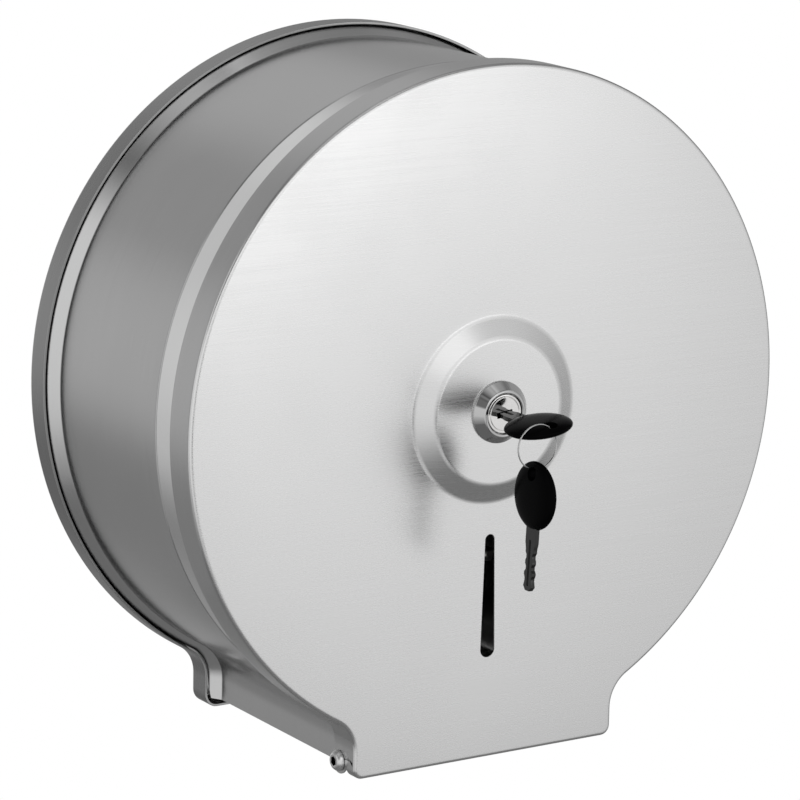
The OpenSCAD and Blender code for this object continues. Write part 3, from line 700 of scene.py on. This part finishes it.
def drum():
    bm = bmesh.new()
    taper_end = FACE_Z - BAND
    waist_z = taper_end - TAPER
    chain = rounded(
        [
            (DRUM_REAR - RIM_STRIP, PAN_T),
            (DRUM_REAR, PAN_T + RIM_STRIP),
            (DRUM_REAR, REAR_BAND),
            (DRUM_WAIST, REAR_BAND + REAR_STEP),
            # a fine crease where the waist ends
            (DRUM_WAIST, waist_z - CREASE_HALF),
            (DRUM_WAIST - CREASE_IN, waist_z),
            (DRUM_WAIST + CREASE_OUT, waist_z + CREASE_HALF),
            (DRUM_FRONT, taper_end),
            (DRUM_FRONT, LIP_Z),
            (DRUM_FRONT - SHEET - LIP_W, LIP_Z),
        ],
        [0, 0.3, 0.3, 0.25, 0.25, 0.25, 1.2, 1.4],
    )
    bridge(bm, [outline(bm, offset, level, WALL_FOOT_Y) for offset, level in chain])
    # the front taper runs out against the cover's flange as it comes down the neck
    for vert in bm.verts:
        if waist_z - 2 < vert.co.z < taper_end and vert.co.y < TAPER_TOP_Y:
            run = min((TAPER_TOP_Y - vert.co.y) / TAPER_RUN, 1)
            kept = 1 - TAPER_LOSS * run * run * (3 - 2 * run)
            vert.co.z = taper_end - (taper_end - vert.co.z) * kept
    # the rear edges of the neck's walls are cut back in a slope
    corner, foot = (Vector((0, *point)) for point in CUT_BACK)
    slope = (foot - corner).normalized()
    normal = Vector((0, -slope.z, slope.y))
    for plane in ((0, 1, 0), normal):
        bmesh.ops.bisect_plane(
            bm,
            geom=bm.verts[:] + bm.edges[:] + bm.faces[:],
            dist=1e-4,
            plane_co=corner,
            plane_no=plane,
        )
    away = [
        face
        for face in bm.faces
        for middle in [face.calc_center_median()]
        if middle.y < corner.y and (middle - corner).dot(normal) > 0
    ]
    bmesh.ops.delete(bm, geom=away, context="FACES")
    bmesh.ops.remove_doubles(bm, verts=bm.verts, dist=1e-3)
    bmesh.ops.recalc_face_normals(bm, faces=bm.faces)
    bmesh.ops.solidify(bm, geom=bm.faces, thickness=SHEET)
    bmesh.ops.recalc_face_normals(bm, faces=bm.faces)
    break_edges(bm, CUT_EDGE, 60)
    # a round tab at each side takes the hinge screw
    for side in (-1, 1):
        tab = Matrix.Translation((side * (NECK_HALF + DRUM_FRONT - SHEET / 2), HINGE_Y, HINGE_Z))
        tab = tab @ Matrix.Rotation(math.radians(90), 4, "Y")
        old = set(bm.verts)
        bmesh.ops.create_cone(
            bm, cap_ends=True, segments=48, radius1=TAB_R, radius2=TAB_R, depth=SHEET, matrix=tab
        )
        new = [vert for vert in bm.verts if vert not in old]
        rims = {e for v in new for e in v.link_edges if e.calc_face_angle(0) > 1}
        bmesh.ops.bevel(
            bm,
            geom=list(rims),
            offset=CUT_EDGE,
            segments=2,
            profile=0.5,
            affect="EDGES",
            material=-1,
        )
    # the drum gets the walls' darker steel, as painted shade
    piece("drum_sheet", bm, ["drum_wall"], "stainless", [shaded_wall_steel])


def pan():
    bm = bmesh.new()
    bend_o = PAN_OUT - PAN_BEND_R
    bend = [
        (bend_o + PAN_BEND_R * math.sin(a), PAN_BEND_R * (1 - math.cos(a)))
        for a in quarter_turn()
    ]
    levels = [(bend_o - RIM_STRIP, 0), *bend, (PAN_OUT, PAN_DEPTH)]
    loops = [outline(bm, offset, level) for offset, level in levels]
    bridge(bm, loops)
    outer_r, inner_r = SEAT_FOOT_R + SEAT_STRIP, SEAT_R - SEAT_STRIP
    seat = rounded(
        [(outer_r, 0), (SEAT_FOOT_R, 0), (SEAT_R, SEAT_H), (inner_r, SEAT_H)], [1, 1]
    )
    turned(bm, seat, 96)
    holes = [
        circle(bm, x * SCREW_HALF, y * SCREW_HALF, 0, SCREW_HOLE_R)
        for x in (-1, 1)
        for y in (-1, 1)
    ]
    for i in range(8):
        place = Matrix.Rotation(math.radians(-50 + 40 * i), 2) @ Vector((DRUM_RIVET_CIRCLE_R, 0))
        holes.append(circle(bm, *place, 0, DRUM_RIVET_HOLE_R))
    fill(bm, loops[0] + rim_of(bm, outer_r, 0) + sum(holes, []))
    rivets = []
    for i in range(4):
        place = Matrix.Rotation(math.radians(45 + 90 * i), 2) @ Vector((TUBE_RIVET_CIRCLE_R, 0))
        rivets += circle(bm, *place, SEAT_H, TUBE_RIVET_HOLE_R, 24)
    fill(bm, rim_of(bm, inner_r, SEAT_H) + rivets)
    bmesh.ops.remove_doubles(bm, verts=bm.verts, dist=1e-3)
    bmesh.ops.recalc_face_normals(bm, faces=bm.faces)
    bmesh.ops.solidify(bm, geom=bm.faces, thickness=PAN_T)
    bmesh.ops.recalc_face_normals(bm, faces=bm.faces)
    break_edges(bm, 0.15, 60)
    piece("back_pan", bm, ["back_plate"], "pan_stainless", [pan_steel])


# ---------------------------------------------------------------- the lock


def threaded(radius, start, end, pitch=1.0, depth=0.35):
    """The points of a screw thread's outside, from start to end."""
    step = math.copysign(pitch, end - start)
    turns = int(abs(end - start) / pitch)
    points = []
    for i in range(turns):
        level = start + i * step
        points += [
            (radius, level + 0.1 * step),
            (radius - depth, level + 0.5 * step),
            (radius, level + 0.9 * step),
        ]
    return points


def lock_housing():
    bm = bmesh.new()
    top, floor, neck_z = BOSS_Z + BEZEL_H, BOSS_Z + 1.0, BOSS_Z - 1.2
    bore_r = PLUG_R + PLUG_GAP
    ring = rounded(
        [
            (bore_r, floor),
            (BEZEL_BORE_R, floor),
            (BEZEL_BORE_R, top),
            (BEZEL_RIM_R, top),
            (BEZEL_R, BOSS_Z + BEZEL_FOOT),
            (BEZEL_R, BOSS_Z),
            (BARREL_R, BOSS_Z),
        ],
        [0.1, 0.45, 0.5, 0.35, 0.2],
    )
    thread = threaded(BARREL_R, neck_z, BARREL_END_Z + 0.6)
    end = [(BARREL_R - 0.5, BARREL_END_Z), (bore_r, BARREL_END_Z), (bore_r, floor)]
    turned(bm, [*ring, (BARREL_R, neck_z), *thread, *end], 128)
    # flats at both sides of the barrel
    for vert in bm.verts:
        if vert.co.z < BOSS_Z - 0.01:
            vert.co.x = max(-BARREL_R + 1, min(BARREL_R - 1, vert.co.x))
    bmesh.ops.recalc_face_normals(bm, faces=bm.faces)
    piece("lock_bezel", bm, ["lock_housing"], "chrome", [chrome])


def lock_plug():
    bm = bmesh.new()
    chain = rounded(
        [
            (0, PLUG_END_Z),
            (PLUG_R, PLUG_END_Z),
            (PLUG_R, PLUG_HEAD_Z),
            (PLUG_HEAD_R, PLUG_HEAD_Z),
            (PLUG_HEAD_R, PLUG_FACE_Z),
            (GROOVE_R + 0.2, PLUG_FACE_Z),
            (GROOVE_R, PLUG_FACE_Z - GROOVE_DEPTH),
            (GROOVE_R - 0.2, PLUG_FACE_Z),
            (0, PLUG_FACE_Z),
        ],
        [0.3, 0, 0.2, 0.35, 0.08, 0.08, 0.08],
        4,
    )
    turned(bm, chain, 96)
    bmesh.ops.recalc_face_normals(bm, faces=bm.faces)
    keyway = block(
        (-KEYWAY_HALF_W, -KEYWAY_HALF_T, KEY_TIP_Z - 2),
        (KEYWAY_HALF_W, KEYWAY_HALF_T, PLUG_FACE_Z + 1),
    )
    keyway.transform(Matrix.Rotation(math.radians(KEY_TILT), 4, "Z"))
    bm = carve(bm, keyway)

    def at_mouth(edge):
        return all(v.co.z > PLUG_FACE_Z - 0.01 and v.co.xy.length < 5 for v in edge.verts)

    break_edges(bm, 0.25, 60, where=at_mouth)
    # the square tail that carries the cam
    tail = Matrix.Translation((0, 0, PLUG_END_Z - 0.4)) @ Matrix.Diagonal((6.9, 6.9, 2.4, 1))
    bmesh.ops.create_cube(bm, matrix=tail)
    piece("lock_plug_body", bm, ["lock_plug"], "nickel", [nickel])


# ---------------------------------------------------------------- the keys


def blade():
    """A key's blade, its tip at the origin, its width along x and a groove on one side."""
    bm = bmesh.new()
    half, near = BLADE_W / 2, -BLADE_T / 2
    side = [(half - 1.9, 0), (half - 0.5, 1.6)]
    for i, cut in enumerate((1.1, 0.5, 1.4, 0.8, 1.3, 0.6)):
        side += [(half - cut, 3.2 + (i + end) * 2.2) for end in (0.25, 0.75)]
    side += [(half - 0.5, 16.4), (half, BLADE_LEN - 5), (half, BLADE_LEN + 2)]
    pen = Pen(bm, (0, near, 0))
    for x, z in side:
        pen.line((x, near, z))
    pen.line((0, near, BLADE_LEN + 2))
    made = bmesh.ops.extrude_face_region(bm, geom=fill(bm, pen.mirrored()))
    verts = [g for g in made["geom"] if isinstance(g, bmesh.types.BMVert)]
    bmesh.ops.translate(bm, vec=(0, BLADE_T, 0), verts=verts)
    bmesh.ops.recalc_face_normals(bm, faces=bm.faces)
    bm = carve(bm, block((-0.6, 0.45, 2), (0.6, 2, BLADE_LEN - 4)))
    break_edges(bm, 0.14, 25)
    return bm


def bow():
    """A key's round crowned bow, with its ring hole towards z and its faces to y."""
    bm = bmesh.new()
    angles = [math.radians(-90 + 7.5 * i) for i in range(25)]
    chain = [(BOW_R * max(math.cos(a), 0) ** BOW_RIM, BOW_T / 2 * math.sin(a)) for a in angles]
    chain[0], chain[-1] = (0, -BOW_T / 2), (0, BOW_T / 2)
    turned(bm, chain, 96)
    bm.transform(Matrix.Rotation(math.radians(90), 4, "X"))
    bmesh.ops.recalc_face_normals(bm, faces=bm.faces)
    across = Matrix.Translation((0, 0, HOLE_OFF)) @ Matrix.Rotation(math.radians(90), 4, "X")
    bm = carve(bm, bar(HOLE_R, -8, 8, 48, across))
    break_edges(bm, 0.45, 40, 3)
    return bm


def keys():
    down = Matrix.Translation((0, 0, -BOW_R - BLADE_LEN))
    for prefix, place in (("", KEY_PLACE), ("spare_", SPARE_PLACE)):
        steel, plastic = blade(), bow()
        steel.transform(place @ down)
        plastic.transform(place)
        # the nickel blade is painted near black, as painted shade
        piece(prefix + "key_steel", steel, [prefix + "key_blade"], "nickel", [key_steel])
        piece(prefix + "key_head", plastic, [prefix + "key_bow"], "black_plastic", [black_plastic])


def key_ring():
    """A split ring, two close turns of thin wire."""
    bm = bmesh.new()
    steps, rise = 192, 0.5
    section = Matrix.Translation((RING_R, 0, -rise / 2)) @ Matrix.Rotation(math.pi / 2, 4, "X")
    made = bmesh.ops.create_circle(bm, segments=12, radius=0.24, matrix=section)["verts"]
    bmesh.ops.spin(
        bm,
        geom=made + bm.edges[:],
        cent=(0, 0, 0),
        axis=Z,
        dvec=(0, 0, rise / steps),
        angle=2 * math.tau * 0.985,
        steps=steps,
    )
    bmesh.ops.holes_fill(bm, edges=[e for e in bm.edges if e.is_boundary], sides=0)
    bmesh.ops.recalc_face_normals(bm, faces=bm.faces)
    bm.transform(
        Matrix.Translation((RING_X, RING_Y, RING_Z)) @ Matrix.Rotation(math.radians(150), 4, "Z")
    )
    piece("split_ring", bm, ["key_ring"], "chrome", [chrome])


# ---------------------------------------------------------------- the hinge screws


def hinge_screws():
    """Button screws, each with its hexagon socket painted dark as painted shade, one through each ear.
    """
    both = bmesh.new()
    for side in (-1, 1):
        bm = bmesh.new()
        head = rounded(
            [
                (0, SCREW_HEAD_H),
                (SCREW_CROWN_R, SCREW_HEAD_H),
                (SCREW_HEAD_R, SCREW_EDGE_H),
                (SCREW_HEAD_R, 0),
                (SHOULDER_R, 0),
                (SHOULDER_R, -SHOULDER_LEN),
                (THREAD_R, -SHOULDER_LEN),
            ],
            [0.5, 0.6, 0.2, 0.1, 0.1],
        )
        thread = threaded(THREAD_R, -2.0, -5.0, 0.7, 0.2)
        turned(bm, [*head, *thread, (THREAD_R - 0.4, -SCREW_LEN), (0, -SCREW_LEN)], 64)
        bmesh.ops.recalc_face_normals(bm, faces=bm.faces)
        bm = carve(bm, bar(HEX_ACROSS / 2 / math.cos(math.pi / 6), HEX_FLOOR, 4, 6))
        break_edges(bm, 0.12, 50, where=lambda edge: all(v.co.z > 2 for v in edge.verts))
        bm.transform(
            Matrix.Translation((side * SCREW_SEAT_X, HINGE_Y, HINGE_Z))
            @ Matrix.Rotation(math.radians(90 * side), 4, "Y")
        )
        mesh = bpy.data.meshes.new("screw")
        bm.to_mesh(mesh)
        bm.free()
        both.from_mesh(mesh)
        bpy.data.meshes.remove(mesh)

    # the faces inside the hexagon socket get the near-black steel, as painted shade
    def in_shaded_socket(face):
        middle = face.calc_center_median()
        off_axis = math.hypot(middle.y - HINGE_Y, middle.z - HINGE_Z)
        height = abs(middle.x) - SCREW_SEAT_X
        return off_axis < 1.9 and 0.4 < height < SCREW_HEAD_H - 0.05

    piece("hinge_button_screws", both, ["hinge_screws"], "chrome", [satin_chrome, key_steel], in_shaded_socket)


cover()
drum()
pan()
lock_housing()
lock_plug()
keys()
key_ring()
hinge_screws()

# the drum's flange gets the walls' darker steel, as painted shade
softened("drum_flange", 0.12, shaded_wall_steel)
softened("body_rivets", 0.15, zinc)
# the tear strips get the inside's darkest steel, as painted shade
softened("tear_strip_left", 0.12, shaded_inside_steel)
softened("tear_strip_right", 0.12, shaded_inside_steel)
softened("spindle_tube", 0.2, zinc)
softened("spindle_rivets", 0.2, zinc)
softened("thrust_washer", 0.2, white_plastic)
softened("spindle_cap", 0.2, zinc)
softened("cap_pins", 0.15, zinc)
softened("hinge_washers", 0.12, white_plastic)
softened("hinge_nuts", 0.25, chrome)
softened("core_hub", 0.35, white_plastic)
softened("lock_washer", 0.12, zinc)
softened("lock_nut", 0.25, zinc)
softened("lock_cam", 0.2, zinc)
softened("lock_wafers", 0.06, brass)
head_z = box_mm("cam_screw")[0].z
softened(
    "cam_screw",
    0.15,
    zinc,
    block((-2.4, -0.4, head_z - 1), (2.4, 0.4, head_z + 1.1)),
    block((-0.4, -2.4, head_z - 1), (0.4, 2.4, head_z + 1.1)),
)


# ---------------------------------------------------------------- camera, light, floor

LENS = 181.8
CAMERA_TURN, CAMERA_RISE, CAMERA_ROLL = map(math.radians, (-32.63, 13.13, 1.08))
CAMERA_FAR = 1.511
TARGET = Vector((-0.0421, -0.123, 0.0084))

back = Vector(
    (
        math.sin(CAMERA_TURN) * math.cos(CAMERA_RISE),
        -math.cos(CAMERA_TURN) * math.cos(CAMERA_RISE),
        math.sin(CAMERA_RISE),
    )
)
level_right = Vector((math.cos(CAMERA_TURN), math.sin(CAMERA_TURN), 0))
level_up = back.cross(level_right)
right = level_right * math.cos(CAMERA_ROLL) + level_up * math.sin(CAMERA_ROLL)
up = back.cross(right)
camera = bpy.data.objects.new("camera", bpy.data.cameras.new("camera"))
bpy.context.scene.collection.objects.link(camera)
camera.data.lens, camera.data.sensor_width = LENS, 36
camera.matrix_world = Matrix.Translation(TARGET + back * CAMERA_FAR) @ (
    Matrix((right, up, back)).transposed().to_4x4()
)
bpy.context.scene.camera = camera


def softbox(name, place, target, width, height, power):
    """A rectangular lamp that faces the target."""
    data = bpy.data.lights.new(name, "AREA")
    data.shape, data.size, data.size_y, data.energy = "RECTANGLE", width, height, power
    lamp = bpy.data.objects.new(name, data)
    lamp.location = place
    lamp.rotation_euler = (Vector(target) - Vector(place)).to_track_quat("-Z", "Y").to_euler()
    bpy.context.scene.collection.objects.link(lamp)


softbox("key_lamp", (-0.35, -2.4, 1.5), (0, -0.06, 0), 2.0, 1.6, 4)


def studio():
    """A white background; for light and reflections, a pale room that is brightest in
    front and at the left, greyer behind and darkest at the right and underfoot."""
    world = bpy.data.worlds.new("studio")
    bpy.context.scene.world = world
    world.use_nodes = True
    paint = Paint(world.node_tree)
    way = paint.node("ShaderNodeTexCoord", out="Generated")
    split = {}
    apart = paint.node("ShaderNodeSeparateXYZ", {}, {0: way})
    for axis in "XYZ":
        split[axis] = Value(paint, apart.socket.node.outputs[axis])
    turn = split["X"].sum("ARCTAN2", split["X"], 0 - split["Y"]) * (1 / math.tau) + 0.5

    def ramp(value, stops):
        return paint.node("ShaderNodeValToRGB", {"stops": stops}, {0: value})

    def at(degrees):
        return degrees / 360 + 0.5

    # round the horizon, from behind on the left past the front to behind on the right
    across = ramp(
        turn,
        [(at(-140), 0.36), (at(-115), 0.55), (at(-88), 0.85), (at(-30), 0.95), (at(-8), 0.7),
         (at(12), 1.0), (at(30), 0.84), (at(42), 0.76), (at(62), 0.64), (at(88), 0.46),
         (at(96), 0.14), (at(135), 0.12)],
    )  # fmt: skip
    # from underfoot to overhead
    height = ramp(
        split["Z"] * 0.5 + 0.5,
        [(0.08, 0.08), (0.13, 0.25), (0.23, 0.6), (0.31, 0.94), (0.4, 1.0), (0.78, 1.06),
         (0.86, 0.4), (0.89, 0.12), (0.91, 0.25), (0.96, 0.6)],
    )  # fmt: skip

    def near(direction, low, high, gain):
        """A soft patch round one direction."""
        there = {0: way, 1: Vector(direction).normalized()}
        dot = paint.node("ShaderNodeVectorMath", {"operation": "DOT_PRODUCT"}, there, out="Value")
        return paint.smoothstep(dot, low, high, 0.0, gain)

    # in front, a bright window on the right and a dark gap low in the middle
    window = near((0.453, -0.890, -0.052), 0.98, 0.999, 0.85)
    gap = near((0.17, -0.96, -0.22), 0.985, 0.995, 0.85)
    # darker corners, high and low on the left
    high_corner = near((-0.77, -0.42, 0.48), 0.945, 0.985, 0.75)
    low_corner = near((-0.80, -0.25, -0.55), 0.93, 0.985, 0.25)
    # a paler ceiling, towards the back
    ceiling = near((0.45, 0.25, 0.86), 0.88, 0.95, 0.22)
    front = across * height * (1 - high_corner) * (1 - low_corner) + window - gap + ceiling
    # behind: grey, paler straight behind, on the left and above
    behind = (
        paint.smoothstep(split["Y"], 0.885, 0.925, 0.0, 0.42)
        * paint.smoothstep(split["Z"], -0.42, -0.27)
        + 0.33
        + near((-0.52, 0.855, 0.0), 0.93, 1.0, 0.15)
        + near((0.2, 0.84, 0.5), 0.93, 1.0, 0.16)
        - near((-0.25, 0.85, -0.46), 0.93, 1.0, 0.08)
    )
    rear = paint.smoothstep(split["Y"], 0.25, 0.6)
    level = front + (behind - front) * rear
    seen = paint.node("ShaderNodeLightPath", out="Is Camera Ray")
    through = paint.node("ShaderNodeLightPath", out="Is Transmission Ray")
    open_view = seen + through - seen * through
    background = world.node_tree.nodes["Background"]
    background.inputs["Color"].default_value = (1, 1, 1, 1)
    paint.feed(background.inputs["Strength"], level + open_view * (1 - level))


studio()
bpy.context.scene.view_settings.view_transform = "Standard"


FLOOR_R, FLOOR_Z = 1.2, -0.9


def ground():
    """A pale floor, well below the case, which hangs on a wall."""
    bm = bmesh.new()
    bmesh.ops.create_circle(bm, cap_ends=True, segments=96, radius=FLOOR_R)
    bm.transform(Matrix.Translation((0, 0, FLOOR_Z)))
    mesh = bpy.data.meshes.new("floor")
    bm.to_mesh(mesh)
    bm.free()
    made = bpy.data.objects.new("floor", mesh)
    bpy.context.scene.collection.objects.link(made)
    material = bpy.data.materials.new("floor_white")
    material.use_nodes = True
    paint = Paint(material.node_tree)
    nodes = material.node_tree.nodes
    pale = nodes["Principled BSDF"]
    pale.inputs["Base Color"].default_value = grey(0.4)
    white = nodes.new("ShaderNodeEmission")
    mix = nodes.new("ShaderNodeMixShader")
    paint.feed(mix.inputs[0], paint.node("ShaderNodeLightPath", out="Is Camera Ray"))
    material.node_tree.links.new(pale.outputs[0], mix.inputs[1])
    material.node_tree.links.new(white.outputs[0], mix.inputs[2])
    material.node_tree.links.new(mix.outputs[0], nodes["Material Output"].inputs["Surface"])
    mesh.materials.append(material)


ground()
